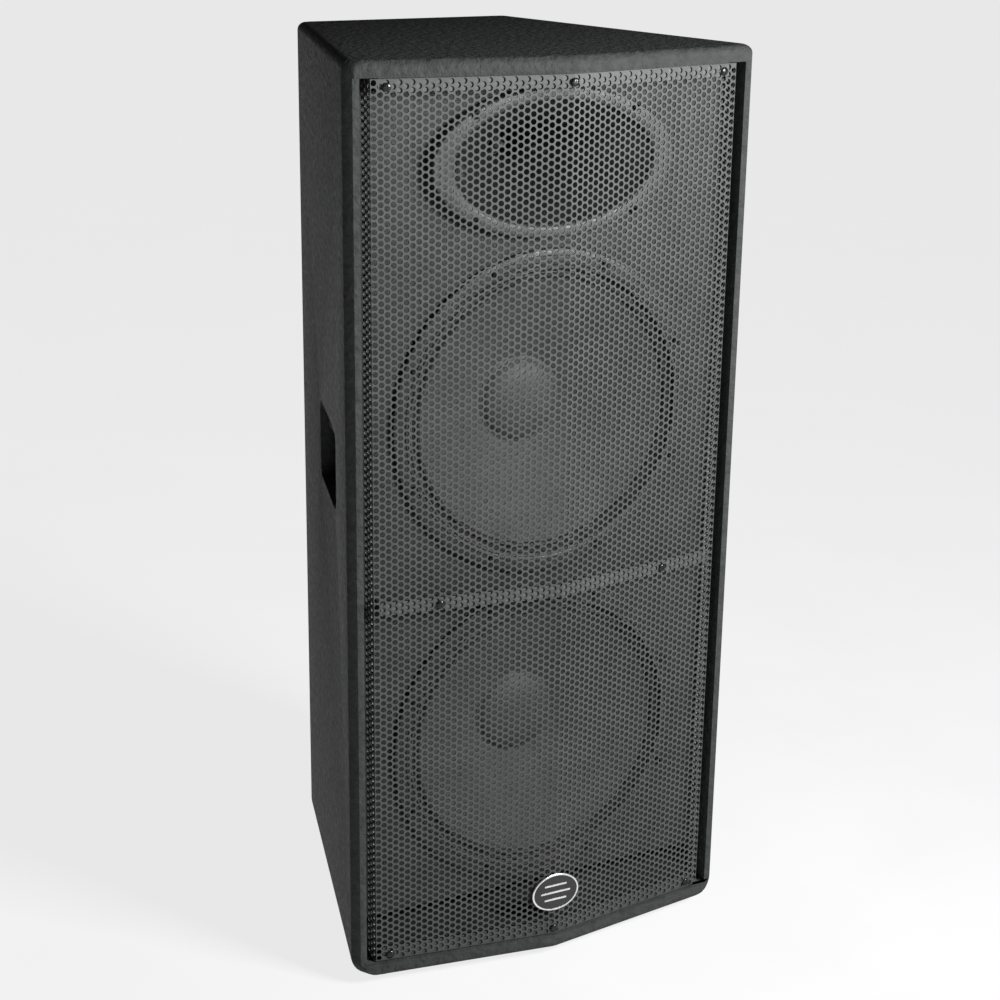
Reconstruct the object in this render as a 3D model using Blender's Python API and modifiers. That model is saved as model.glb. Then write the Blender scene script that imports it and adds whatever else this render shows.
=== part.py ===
"""Passive PA speaker cabinet: two 15 inch woofers, a horn and a slot port.

Metres, +Z up, the front faces -Y, the origin is on the floor under the middle of the cabinet.
"""
from math import atan2, cos, hypot, pi, sin

import bmesh
import bpy
from mathutils import Matrix, Vector

# ---------------------------------------------------------------- driving dimensions
GAP = 0.0003                    # clearance between touching pieces
FOOT_H = 0.012
CABINET_H = 1.080
BOARD = 0.018                   # thickness of the cabinet's panels
HALF_W_FRONT = 0.2545           # outer half width where the side panels' front and side would meet
HALF_W_REAR = 0.142
Y_SIDE_FRONT = -0.194
Y_CREASE = -0.230               # front of the top and bottom panels, on the centre line
Y_REAR = 0.230
EDGE_CHAMFER = 0.012            # on the side panels' outer front edges

Y_BAFFLE = -0.170               # front face of the baffle
REAR_INSET = 0.006              # the rear panel sits this far inside the side panels' ends
REAR_BOARD = 0.015

WOOFER_Z = {"upper": 0.683, "lower": 0.281}
WOOFER_R = 0.192                # outer radius of the frame's flange
BASKET_R = 0.174
WOOFER_HOLE_R = 0.176
HORN_Z = 0.972
HORN_A, HORN_B = 0.150, 0.083   # half axes of the horn's flange
HORN_HOLE_A, HORN_HOLE_B = 0.1140, 0.0625
THROAT_Y = -0.030

GRILLE_T = 0.0015
GRILLE_CREASE_Y = -0.225
GRILLE_HALF_W = 0.217
GRILLE_EDGE = (0.2255, -0.1735)  # free edge of the bent-back side flange
GRILLE_Z = (0.0315, 1.0725)

RIB_Z = 0.482
RIB_T = 0.015
BATTEN_H = 0.016
PORT_FLOOR_TOP = 0.048
PORT_TOP = 0.080
PORT_BACK_Y = 0.080
SHELF_T = 0.015

HANDLE_S = 0.176                # distance of the handle behind the front edge, along the wall
HANDLE_Z = 0.618
HANDLE_W, HANDLE_H = 0.150, 0.096
HANDLE_DEPTH = 0.045            # behind the panel's inner face
HANDLE_WALL = 0.003

PLATE_Z = 0.300                 # connector plate
PLATE_W, PLATE_H, PLATE_T = 0.150, 0.110, 0.003
SOCKET_X = {"input": -0.034, "link": 0.034}
SOCKET_Z = PLATE_Z + 0.014
SWITCH_Z = PLATE_Z - 0.034
SWITCH_TRAVEL = 0.006

STEPS = 24                      # facets round a woofer
INNER_STEPS = 20                # facets round its motor
SMALL_STEPS = 12

# ---------------------------------------------------------------- derived places
TOP_Z = FOOT_H + CABINET_H
INNER_TOP = TOP_Z - BOARD
INNER_BOTTOM = FOOT_H + BOARD
TAPER = (HALF_W_FRONT - HALF_W_REAR) / (Y_REAR - Y_SIDE_FRONT)
WALL_ANGLE = atan2(Y_REAR - Y_SIDE_FRONT, HALF_W_FRONT - HALF_W_REAR)
INNER_SHIFT = BOARD * hypot(1, TAPER)
REAR_OUT = Y_REAR - REAR_INSET
REAR_IN = REAR_OUT - REAR_BOARD
BAFFLE_BACK = Y_BAFFLE + BOARD
V_SLOPE = (Y_SIDE_FRONT - Y_CREASE) / HALF_W_FRONT
GRILLE_SLOPE = 0.1423


def outer_half(y):
    return HALF_W_FRONT - (y - Y_SIDE_FRONT) * TAPER


def inner_half(y):
    return outer_half(y) - INNER_SHIFT


# ---------------------------------------------------------------- scene and materials
def clear_scene():
    for obj in list(bpy.data.objects):
        bpy.data.objects.remove(obj, do_unlink=True)


def new_collection(name):
    coll = bpy.data.collections.new(name)
    bpy.context.scene.collection.children.link(coll)
    return coll


def principled(name, rgb, roughness, metallic=0.0):
    mat = bpy.data.materials.new(name)
    mat.use_nodes = True
    shader = mat.node_tree.nodes["Principled BSDF"]
    shader.inputs["Base Color"].default_value = (*rgb, 1.0)
    shader.inputs["Roughness"].default_value = roughness
    shader.inputs["Metallic"].default_value = metallic
    return mat


clear_scene()
PARTS = new_collection("pa_speaker_cabinet")
CUTTERS = new_collection("cutters")

PAINT = (0.020, 0.021, 0.020)
STEEL_PAINT = (0.16, 0.165, 0.16)


# ---------------------------------------------------------------- building helpers
def add(obj, mat=None, coll=None):
    """Puts an object in its collection, gives it its material and names its mesh."""
    for old in list(obj.users_collection):
        old.objects.unlink(obj)
    (coll or PARTS).objects.link(obj)
    obj.data.name = obj.name
    if mat is not None:
        obj.data.materials.clear()
        obj.data.materials.append(mat)
    return obj


def shade_round(obj):
    obj.data.shade_smooth()
    obj.data.set_sharp_from_angle(angle=0.6)


def box(name, low, high, mat=None, coll=None):
    bpy.ops.mesh.primitive_cube_add(size=1.0)
    obj = bpy.context.active_object
    obj.name = name
    low, high = Vector(low), Vector(high)
    obj.data.transform(Matrix.Diagonal((*(high - low), 1.0)))
    obj.data.transform(Matrix.Translation((low + high) / 2))
    return add(obj, mat, coll)


def round_bar(name, radius, depth, mat=None, coll=None, steps=SMALL_STEPS):
    """A cylinder along Z, with its middle at the origin."""
    bpy.ops.mesh.primitive_cylinder_add(radius=radius, depth=depth, vertices=steps)
    obj = bpy.context.active_object
    obj.name = name
    return add(obj, mat, coll)


def outline_board(name, outline, z_low, z_high, mat=None, coll=None):
    """A flat outline in plan, extruded upwards and made a mesh."""
    curve = bpy.data.curves.new(name, "CURVE")
    curve.dimensions = "2D"
    curve.fill_mode = "BOTH"
    curve.extrude = (z_high - z_low) / 2
    spline = curve.splines.new("POLY")
    spline.points.add(len(outline) - 1)
    for point, (x, y) in zip(spline.points, outline):
        point.co = (x, y, 0.0, 1.0)
    spline.use_cyclic_u = True
    flat = bpy.data.objects.new(name, curve)
    flat.location.z = (z_low + z_high) / 2
    PARTS.objects.link(flat)
    return as_mesh(flat, mat, coll)


def as_mesh(curve_obj, mat=None, coll=None):
    """Swaps a curve object for the closed mesh that it evaluates to."""
    bpy.context.view_layer.update()
    graph = bpy.context.evaluated_depsgraph_get()
    mesh = bpy.data.meshes.new_from_object(curve_obj.evaluated_get(graph))
    name, matrix = curve_obj.name, curve_obj.matrix_world.copy()
    bpy.data.objects.remove(curve_obj, do_unlink=True)
    bm = bmesh.new()
    bm.from_mesh(mesh)
    bmesh.ops.remove_doubles(bm, verts=bm.verts, dist=0.00001)
    bm.to_mesh(mesh)
    bm.free()
    obj = bpy.data.objects.new(name, mesh)
    obj.matrix_world = matrix
    return add(obj, mat, coll)


def turned(name, profile, mat=None, closed=False, steps=STEPS, coll=None):
    """Turns a profile of (radius, z) points about Z. A closed profile makes a ring."""
    mesh = bpy.data.meshes.new(name)
    bm = bmesh.new()
    verts = [bm.verts.new((r, 0.0, z)) for r, z in profile]
    for first, second in zip(verts, verts[1:]):
        bm.edges.new((first, second))
    if closed:
        bm.edges.new((verts[-1], verts[0]))
    bm.to_mesh(mesh)
    bm.free()
    obj = bpy.data.objects.new(name, mesh)
    add(obj, mat, coll)
    screw = obj.modifiers.new("turn", "SCREW")
    screw.angle = 2 * pi
    screw.steps = steps
    screw.render_steps = steps
    screw.use_merge_vertices = True
    screw.merge_threshold = 0.00002
    screw.use_smooth_shade = True
    return obj


def face_front(obj, x, y, z):
    """Turns an object that was made along Z so that its top faces the front, -Y."""
    obj.rotation_euler = (pi / 2, 0.0, 0.0)
    obj.location = (x, y, z)
    return obj


def face_back(obj, x, y, z):
    """Turns an object that was made along Z so that its top faces the back, +Y."""
    obj.rotation_euler = (-pi / 2, 0.0, 0.0)
    obj.location = (x, y, z)
    return obj


def soften(obj, width, segments=1):
    bevel = obj.modifiers.new("soft_edges", "BEVEL")
    bevel.width = width
    bevel.segments = segments
    bevel.limit_method = "ANGLE"
    bevel.angle_limit = 0.6
    return obj


def cut(obj, cutter, operation="DIFFERENCE"):
    """Adds a Boolean, and hides the cutter from the model."""
    if cutter.name not in CUTTERS.objects:
        add(cutter, None, CUTTERS)
    cutter.hide_render = True
    cutter.display_type = "WIRE"
    boolean = obj.modifiers.new(cutter.name, "BOOLEAN")
    boolean.operation = operation
    boolean.solver = "EXACT"
    boolean.object = cutter
    return obj


def mirrored(outline):
    """A plan outline from its right half, listed from front to back."""
    return outline + [(-x, y) for x, y in reversed(outline) if abs(x) > 1e-6]


# ---------------------------------------------------------------- cabinet boards
def make_horizontal_panels(mat):
    """Top and bottom panels: full width, tapered to the back, with a V front edge."""
    half = mirrored([
        (0.0, Y_CREASE),
        (HALF_W_FRONT - EDGE_CHAMFER, Y_CREASE + V_SLOPE * (HALF_W_FRONT - EDGE_CHAMFER)),
        (outer_half(Y_SIDE_FRONT + EDGE_CHAMFER), Y_SIDE_FRONT + EDGE_CHAMFER),
        (HALF_W_REAR, Y_REAR),
    ])
    top = outline_board("top_panel", half, INNER_TOP, TOP_Z, mat)
    bottom = outline_board("bottom_panel", half, FOOT_H, INNER_BOTTOM, mat)
    soften(top, 0.004)
    soften(bottom, 0.004)


def handle_place(obj, side):
    """Places an object made in a handle's own frame: X along the wall, Y inwards, Z up."""
    x = side * (HALF_W_FRONT - HANDLE_S * cos(WALL_ANGLE))
    y = Y_SIDE_FRONT + HANDLE_S * sin(WALL_ANGLE)
    obj.location = (x, y, HANDLE_Z)
    obj.rotation_euler = (0.0, 0.0, side * (pi - WALL_ANGLE))
    return obj


def make_side_panel(name, side, mat):
    front = Y_SIDE_FRONT
    outline = [
        (side * (HALF_W_FRONT - EDGE_CHAMFER), front),
        (side * inner_half(front), front),
        (side * inner_half(Y_REAR), Y_REAR),
        (side * HALF_W_REAR, Y_REAR),
        (side * outer_half(front + EDGE_CHAMFER), front + EDGE_CHAMFER),
    ]
    panel = outline_board(name, outline, INNER_BOTTOM + GAP, INNER_TOP - GAP, mat)
    window = box(name + "_handle_cut", (-HANDLE_W / 2, -0.02, -HANDLE_H / 2),
                 (HANDLE_W / 2, BOARD + 0.02, HANDLE_H / 2), coll=CUTTERS)
    cut(panel, handle_place(window, side))


def make_rear_panel(mat):
    outline = [(-inner_half(REAR_IN) + GAP, REAR_IN), (inner_half(REAR_IN) - GAP, REAR_IN),
               (inner_half(REAR_OUT) - GAP, REAR_OUT), (-inner_half(REAR_OUT) + GAP, REAR_OUT)]
    panel = outline_board("rear_panel", outline, INNER_BOTTOM + GAP, INNER_TOP - GAP, mat)
    margin = 0.014
    half_w, half_h = PLATE_W / 2 - margin, PLATE_H / 2 - margin
    cut(panel, box("connector_window", (-half_w, REAR_IN - 0.01, PLATE_Z - half_h),
                   (half_w, REAR_OUT + 0.01, PLATE_Z + half_h), coll=CUTTERS))


def make_baffle(mat):
    outline = [(-inner_half(Y_BAFFLE) + GAP, Y_BAFFLE), (inner_half(Y_BAFFLE) - GAP, Y_BAFFLE),
               (inner_half(BAFFLE_BACK) - GAP, BAFFLE_BACK), (-inner_half(BAFFLE_BACK) + GAP, BAFFLE_BACK)]
    baffle = outline_board("front_baffle", outline, PORT_TOP, INNER_TOP - GAP, mat)
    for place, z in WOOFER_Z.items():
        hole = round_bar(place + "_woofer_hole", WOOFER_HOLE_R, 0.05, coll=CUTTERS, steps=STEPS)
        cut(baffle, face_front(hole, 0.0, Y_BAFFLE + BOARD / 2, z))
    hole = round_bar("horn_hole", 1.0, 0.05, coll=CUTTERS, steps=STEPS)
    hole.data.transform(Matrix.Diagonal((HORN_HOLE_A, HORN_HOLE_B, 1.0, 1.0)))
    cut(baffle, face_front(hole, 0.0, Y_BAFFLE + BOARD / 2, HORN_Z))


def grille_back(x):
    """Y of the grille's rear face, plus the clearance."""
    return GRILLE_CREASE_Y + GRILLE_T * 1.02 + GRILLE_SLOPE * abs(x) + GAP


def make_grille_supports(mat):
    """Boards between the baffle and the grille, with a front edge that follows the grille's V."""
    half_w = 0.2145
    back = Y_BAFFLE - GAP
    outline = mirrored([(0.0, grille_back(0.0)), (half_w, grille_back(half_w)), (half_w, back)])
    batten = outline_board("top_batten", outline, INNER_TOP - BATTEN_H, INNER_TOP - GAP, mat)
    rib = outline_board("middle_rib", outline, RIB_Z - RIB_T / 2, RIB_Z + RIB_T / 2, mat)
    y_wide = back + 0.010
    floor_outline = mirrored([(0.0, grille_back(0.0)), (half_w, grille_back(half_w)), (half_w, back),
                              (inner_half(y_wide) - GAP, y_wide),
                              (inner_half(PORT_BACK_Y) - GAP, PORT_BACK_Y)])
    floor = outline_board("port_floor", floor_outline, INNER_BOTTOM + GAP, PORT_FLOOR_TOP, mat)
    return {"top": batten, "middle": rib, "bottom": floor}


def make_inner_boards(mat):
    """The shelf that makes the slot port's roof, and a brace between the side panels."""
    def tapered(name, y_front, y_back, z_low, z_high):
        outline = [(-inner_half(y_front) + GAP, y_front), (inner_half(y_front) - GAP, y_front),
                   (inner_half(y_back) - GAP, y_back), (-inner_half(y_back) + GAP, y_back)]
        outline_board(name, outline, z_low, z_high, mat)

    brace_half = 0.009
    tapered("port_shelf", BAFFLE_BACK + GAP, PORT_BACK_Y, PORT_TOP, PORT_TOP + SHELF_T)
    tapered("cross_brace", -0.010, 0.060, RIB_Z - brace_half, RIB_Z + brace_half)


# ---------------------------------------------------------------- grille, badge and screws
def screw_places():
    """Where the grille's screws sit: name, x, z and the board that each one goes into."""
    rows = [("top", (-0.206, 0.0, 0.206), INNER_TOP - 0.010), ("middle", (-0.146, 0.146), RIB_Z),
            ("bottom", (-0.206, 0.0, 0.206), FOOT_H + 0.027)]
    number = 0
    for board, xs, z in rows:
        for x in xs:
            number += 1
            yield "grille_screw_%d" % number, x, z, board


def screw_tilt(x):
    """A screw is square to its half of the V."""
    if abs(x) < 0.01:
        return 0.0
    return atan2(GRILLE_SLOPE, 1.0) * (1 if x > 0 else -1)


def place_screw(obj, x, z):
    obj.rotation_euler = (pi / 2, 0.0, screw_tilt(x))
    obj.location = (x, GRILLE_CREASE_Y + GRILLE_SLOPE * abs(x), z)
    return obj


def make_grille(mat):
    """A sheet folded to a shallow V, with its two sides bent back."""
    z_low, z_high = GRILLE_Z
    right = [(0.0, GRILLE_CREASE_Y), (GRILLE_HALF_W, GRILLE_CREASE_Y + GRILLE_SLOPE * GRILLE_HALF_W),
             GRILLE_EDGE]
    path = [(-x, y) for x, y in reversed(right)] + right[1:]
    bm = bmesh.new()
    verts = [bm.verts.new((x, y, z_low)) for x, y in path]
    edges = [bm.edges.new(pair) for pair in zip(verts, verts[1:])]
    raised = bmesh.ops.extrude_edge_only(bm, edges=edges)
    upper = [item for item in raised["geom"] if isinstance(item, bmesh.types.BMVert)]
    bmesh.ops.translate(bm, verts=upper, vec=(0.0, 0.0, z_high - z_low))
    bmesh.ops.recalc_face_normals(bm, faces=bm.faces)
    if sum(face.normal.y for face in bm.faces) > 0:
        bmesh.ops.reverse_faces(bm, faces=bm.faces)
    mesh = bpy.data.meshes.new("grille")
    bm.to_mesh(mesh)
    bm.free()
    grille = add(bpy.data.objects.new("grille", mesh), mat)
    shell = grille.modifiers.new("sheet", "SOLIDIFY")
    shell.thickness = GRILLE_T
    shell.offset = -1.0
    shell.use_even_offset = True
    return grille


def make_grille_screws(grille, boards, mat):
    """Pan-head screws through the grille into the boards behind it."""
    head_r, head_h, shank_r, shank = 0.0048, 0.0026, 0.0019, 0.0140
    for name, x, z, board in screw_places():
        screw = turned(name, [(0.0, GAP + head_h), (head_r * 0.6, GAP + head_h * 0.92),
                              (head_r, GAP + head_h * 0.4), (head_r, GAP), (shank_r, GAP),
                              (shank_r, -shank), (0.0, -shank - 0.001)],
                       mat, steps=10)
        place_screw(screw, x, z)
        pilot = round_bar(name + "_pilot", shank_r + 0.0004, 0.0400, coll=CUTTERS, steps=10)
        place_screw(pilot, x, z)
        cut(grille, pilot)
        cut(boards[board], pilot)


def make_badge(mat):
    """A blank oval plate on the grille's crease."""
    half_a, half_b, thick, z = 0.0315, 0.0245, 0.0020, 0.0890
    badge = round_bar("badge", 1.0, thick, mat, steps=24)
    badge.data.transform(Matrix.Diagonal((half_a, half_b, 1.0, 1.0)))
    face_front(badge, 0.0, GRILLE_CREASE_Y - GAP - thick / 2, z)
    shade_round(badge)


# ---------------------------------------------------------------- woofers
# Every woofer profile is (radius, height), with height 0 on the baffle's front face.
def make_woofer(place, z, mats):
    def put(obj):
        return face_front(obj, 0.0, Y_BAFFLE, z)

    frame = put(turned(place + "_woofer_frame", [
        (0.1740, 0.0085), (0.1905, 0.0085), (WOOFER_R, 0.0065), (WOOFER_R, GAP), (BASKET_R, GAP),
        (BASKET_R, -0.0160), (0.1180, -0.0930), (0.0750, -0.0960), (0.0420, -0.0960),
        (0.0420, -0.0920), (0.0745, -0.0920), (0.1060, -0.0880), (0.1650, -0.0150), (0.1722, -0.0010),
        (0.1730, 0.0050)],
        mats["frame"], closed=True))
    for number in range(6):
        window = box("%s_basket_window_%d" % (place, number), (0.100, -0.036, -0.084), (0.200, 0.036, -0.022),
                     coll=CUTTERS)
        window.data.transform(Matrix.Rotation(number * pi / 3 + pi / 6, 4, "Z"))
        cut(frame, put(window))

    put(turned(place + "_woofer_surround", [
        (0.1580, 0.0012), (0.1590, 0.0030), (0.1620, 0.0062), (0.1665, 0.0072), (0.1700, 0.0050),
        (0.1716, 0.0012), (0.1716, -0.0002), (0.1690, 0.0030), (0.1662, 0.0056), (0.1630, 0.0046),
        (0.1600, 0.0000)],
        mats["surround"], closed=True))
    cone = put(turned(place + "_woofer_cone", [
        (0.0, -0.0500), (0.0220, -0.0520), (0.0400, -0.0580), (0.0500, -0.0650),
        (0.1050, -0.0360), (0.1560, -0.0008), (0.1570, -0.0030), (0.1050, -0.0390), (0.0500, -0.0685),
        (0.0395, -0.0735), (0.0365, -0.0735), (0.0365, -0.0640), (0.0200, -0.0545), (0.0, -0.0525)],
        mats["cone"]))
    shade_round(cone)
    put(turned(place + "_woofer_voice_coil", [
        (0.0378, -0.0738), (0.0390, -0.0738), (0.0390, -0.1120), (0.0378, -0.1120)],
        mats["coil"], closed=True, steps=INNER_STEPS))
    put(turned(place + "_woofer_spider", [
        (0.0394, -0.0780), (0.0480, -0.0760), (0.0560, -0.0800), (0.0640, -0.0760), (0.0720, -0.0800),
        (0.0850, -0.0800), (0.0850, -0.0812), (0.0720, -0.0812), (0.0640, -0.0772), (0.0560, -0.0812),
        (0.0480, -0.0772), (0.0394, -0.0792)],
        mats["spider"], closed=True, steps=INNER_STEPS))
    put(turned(place + "_woofer_top_plate", [
        (0.0406, -0.0963), (0.0750, -0.0963), (0.0750, -0.1063), (0.0406, -0.1063)],
        mats["steel"], closed=True, steps=INNER_STEPS))
    put(turned(place + "_woofer_magnet", [
        (0.0470, -0.1066), (0.0900, -0.1066), (0.0900, -0.1290), (0.0470, -0.1290)],
        mats["magnet"], closed=True, steps=INNER_STEPS))
    put(turned(place + "_woofer_pole_piece", [
        (0.0, -0.0950), (0.0340, -0.0950), (0.0362, -0.0970), (0.0362, -0.1293), (0.0820, -0.1293),
        (0.0820, -0.1400), (0.0780, -0.1440), (0.0, -0.1440)],
        mats["steel"], steps=INNER_STEPS))


# ---------------------------------------------------------------- horn and its driver
def make_horn_flare(mat):
    """A shell lofted from the elliptical flange to the round throat and back along the outside."""
    rings = [
        (HORN_A, HORN_B, Y_BAFFLE - GAP), (HORN_A, HORN_B, -0.1855),
        (HORN_A - 0.003, HORN_B - 0.003, -0.1880),
        (0.1255, 0.0700, -0.1880), (0.1205, 0.0660, -0.1855), (0.1060, 0.0570, -0.1700),
        (0.0680, 0.0370, -0.1300), (0.0340, 0.0230, -0.0800), (0.0125, 0.0125, THROAT_Y),
        (0.0450, 0.0450, THROAT_Y), (0.0450, 0.0450, THROAT_Y - 0.007), (0.0200, 0.0200, THROAT_Y - 0.010),
        (0.0375, 0.0265, -0.0800), (0.0715, 0.0405, -0.1300), (0.1095, 0.0600, Y_BAFFLE - GAP),
    ]
    count = STEPS
    bm = bmesh.new()
    loops = []
    for half_a, half_b, y in rings:
        angles = [2 * pi * k / count for k in range(count)]
        loops.append([bm.verts.new((half_a * cos(a), y, HORN_Z + half_b * sin(a))) for a in angles])
    for near, far in zip(loops, loops[1:] + loops[:1]):
        for k in range(count):
            after = (k + 1) % count
            bm.faces.new((near[k], near[after], far[after], far[k]))
    bmesh.ops.recalc_face_normals(bm, faces=bm.faces)
    mesh = bpy.data.meshes.new("horn_flare")
    bm.to_mesh(mesh)
    bm.free()
    shade_round(add(bpy.data.objects.new("horn_flare", mesh), mat))


def make_compression_driver(mats):
    """Profiles are (radius, height), with height 0 on the back of the horn's throat."""
    def put(obj):
        return face_front(obj, 0.0, THROAT_Y, HORN_Z)

    put(turned("driver_body", [
        (0.0125, -GAP), (0.0500, -GAP), (0.0600, -0.0080), (0.0600, -0.0420), (0.0360, -0.0420),
        (0.0260, -0.0380), (0.0160, -0.0300)], mats["steel"], closed=True, steps=INNER_STEPS))
    put(turned("driver_diaphragm", [
        (0.0, -0.0400), (0.0150, -0.0415), (0.0250, -0.0445), (0.0300, -0.0450), (0.0300, -0.0455),
        (0.0245, -0.0452), (0.0145, -0.0422), (0.0, -0.0408)], mats["diaphragm"], steps=INNER_STEPS))
    put(turned("driver_cap", [
        (0.0, -0.0590), (0.0400, -0.0590), (0.0400, -0.0423), (0.0580, -0.0423), (0.0580, -0.0580),
        (0.0540, -0.0620), (0.0, -0.0620)], mats["cap"], steps=INNER_STEPS))


# ---------------------------------------------------------------- handles
def make_handle(name, side, mats):
    """A pocket behind the side panel with a grip bar across its mouth."""
    y_front = BOARD + GAP
    y_back = BOARD + HANDLE_DEPTH
    half_w, half_h, rim = HANDLE_W / 2, HANDLE_H / 2, 0.015
    shell = HANDLE_WALL
    cup = box(name + "_handle_cup", (-half_w - shell, y_front, -half_h - shell),
              (half_w + shell, y_back + shell, half_h + shell), mats["cup"])
    flange = box(name + "_cup_flange", (-half_w - rim, y_front, -half_h - rim),
                 (half_w + rim, y_front + shell, half_h + rim), coll=CUTTERS)
    hollow = box(name + "_cup_hollow", (-half_w, 0.0, -half_h), (half_w, y_back, half_h), coll=CUTTERS)
    handle_place(cup, side)
    cut(cup, handle_place(flange, side), "UNION")
    cut(cup, handle_place(hollow, side))

    bar_r, bar_y, bar_z = 0.0085, BOARD + 0.002, 0.016
    curve = bpy.data.curves.new(name + "_handle_bar", "CURVE")
    curve.dimensions = "3D"
    curve.bevel_depth = bar_r
    curve.bevel_resolution = 2
    curve.use_fill_caps = True
    spline = curve.splines.new("POLY")
    spline.points.add(1)
    for point, end in zip(spline.points, (-1, 1)):
        point.co = (end * (half_w - GAP), bar_y, bar_z, 1.0)
    bar = bpy.data.objects.new(name + "_handle_bar", curve)
    add(bar, mats["bar"])
    handle_place(bar, side)


# ---------------------------------------------------------------- connector plate and switch
def make_connector_plate(mats):
    y_in, y_out = REAR_OUT + GAP, REAR_OUT + GAP + PLATE_T
    plate = box("connector_plate", (-PLATE_W / 2, y_in, PLATE_Z - PLATE_H / 2),
                (PLATE_W / 2, y_out, PLATE_Z + PLATE_H / 2), mats["plate"])
    hole_r = 0.0136
    for name, x in SOCKET_X.items():
        hole = round_bar(name + "_socket_hole", hole_r, 0.02, coll=CUTTERS, steps=16)
        cut(plate, face_back(hole, x, y_out, SOCKET_Z))
        socket = turned(name + "_socket", [
            (0.0, -0.0215), (0.0112, -0.0215), (0.0112, 0.0022), (0.0150, 0.0022), (0.0165, 0.0012),
            (0.0165, GAP), (0.0131, GAP), (0.0131, -0.0240), (0.0, -0.0240)],
            mats["socket"], steps=16)
        face_back(socket, x, y_out, SOCKET_Z)

    slot_half, knob_half, knob_h = 0.0080, 0.0045, 0.0024
    slot = box("switch_slot", (-slot_half, y_in - 0.01, SWITCH_Z - knob_h - 0.0004),
               (slot_half, y_out + 0.01, SWITCH_Z + knob_h + 0.0004), coll=CUTTERS)
    cut(plate, slot)
    body = box("mode_switch_body", (-0.0130, y_in - GAP - 0.010, SWITCH_Z - 0.0060),
               (0.0130, y_in - GAP, SWITCH_Z + 0.0060), mats["switch"])
    well = box("switch_well", (-slot_half, y_in - 0.007, SWITCH_Z - knob_h - 0.0004),
               (slot_half, y_in + 0.001, SWITCH_Z + knob_h + 0.0004), coll=CUTTERS)
    cut(body, well)
    rest_x = -SWITCH_TRAVEL / 2
    slider = box("mode_switch_slider", (-knob_half, -0.0086, -knob_h), (knob_half, 0.0020, knob_h),
                 mats["slider"])
    slider.location = (rest_x, y_out, SWITCH_Z)


# ---------------------------------------------------------------- crossover and feet
def make_crossover(mats):
    board_y = (REAR_IN - 0.0020 - GAP, REAR_IN - GAP)
    z_mid = 0.560
    box("crossover_board", (-0.085, board_y[0], z_mid - 0.055), (0.085, board_y[1], z_mid + 0.055),
        mats["board"])
    inductor = turned("crossover_inductor", [
        (0.0120, 0.0300), (0.0280, 0.0300), (0.0280, 0.0), (0.0120, 0.0)],
        mats["copper"], closed=True, steps=20)
    face_front(inductor, -0.042, board_y[0] - GAP, z_mid)
    can_r, can_l = 0.0140, 0.0460
    can = round_bar("crossover_capacitor", can_r, can_l, mats["can"], steps=16)
    can.rotation_euler = (0.0, pi / 2, 0.0)
    can.location = (0.040, board_y[0] - GAP - can_r, z_mid + 0.010)
    shade_round(can)


def make_feet(mat):
    places = [("front_left", -0.205, -0.160), ("front_right", 0.205, -0.160), ("rear_left", -0.118, 0.190),
              ("rear_right", 0.118, 0.190)]
    for name, x, y in places:
        foot = turned(name + "_foot", [(0.0, FOOT_H - GAP), (0.0210, FOOT_H - GAP), (0.0185, 0.0020),
                                       (0.0165, 0.0), (0.0, 0.0)], mat, steps=16)
        foot.location = (x, y, 0.0)


# ---------------------------------------------------------------- assembly
def build():
    paint = principled("cabinet_paint", PAINT, 0.55)
    wood = principled("painted_board", (0.035, 0.036, 0.035), 0.65)
    make_horizontal_panels(paint)
    make_side_panel("left_side_panel", -1, paint)
    make_side_panel("right_side_panel", 1, paint)
    make_rear_panel(paint)
    make_baffle(wood)
    make_inner_boards(principled("bare_board", (0.30, 0.20, 0.11), 0.80))
    boards = make_grille_supports(wood)
    grille = make_grille(principled("grille_steel", STEEL_PAINT, 0.45, 0.3))
    make_grille_screws(grille, boards, principled("screw_black", (0.02, 0.02, 0.02), 0.35, 0.8))
    make_badge(principled("badge", (0.03, 0.03, 0.035), 0.30, 0.2))

    steel = principled("plated_steel", (0.35, 0.35, 0.34), 0.35, 1.0)
    woofer_mats = {
        "frame": principled("frame_paint", (0.07, 0.07, 0.07), 0.45, 0.4),
        "surround": principled("surround_cloth", (0.03, 0.03, 0.03), 0.75),
        "cone": principled("cone_paper", (0.055, 0.055, 0.055), 0.80),
        "coil": principled("coil_wire", (0.60, 0.32, 0.14), 0.35, 0.9),
        "spider": principled("spider_cloth", (0.45, 0.32, 0.12), 0.85),
        "steel": steel,
        "magnet": principled("magnet_ferrite", (0.045, 0.045, 0.047), 0.60),
    }
    for place, z in WOOFER_Z.items():
        make_woofer(place, z, woofer_mats)

    make_horn_flare(principled("horn_plastic", (0.05, 0.05, 0.05), 0.40))
    make_compression_driver({
        "steel": steel,
        "diaphragm": principled("diaphragm_metal", (0.55, 0.55, 0.56), 0.30, 1.0),
        "cap": principled("driver_cap_plastic", (0.02, 0.02, 0.02), 0.45),
    })
    handle_mats = {
        "cup": principled("cup_plastic", (0.025, 0.026, 0.025), 0.50),
        "bar": principled("bar_plastic", (0.030, 0.031, 0.030), 0.45),
    }
    make_handle("left", -1, handle_mats)
    make_handle("right", 1, handle_mats)
    make_connector_plate({
        "plate": principled("connector_plate_steel", (0.03, 0.03, 0.03), 0.40, 0.5),
        "socket": principled("socket_plastic", (0.015, 0.015, 0.017), 0.40),
        "switch": principled("switch_case", (0.10, 0.10, 0.10), 0.50),
        "slider": principled("switch_knob", (0.60, 0.60, 0.58), 0.45),
    })
    make_crossover({
        "board": principled("circuit_board", (0.05, 0.13, 0.06), 0.50),
        "copper": principled("copper_wire", (0.62, 0.30, 0.14), 0.35, 0.9),
        "can": principled("capacitor_film", (0.65, 0.55, 0.12), 0.40),
    })
    make_feet(principled("foot_rubber", (0.02, 0.02, 0.02), 0.85))


build()
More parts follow.
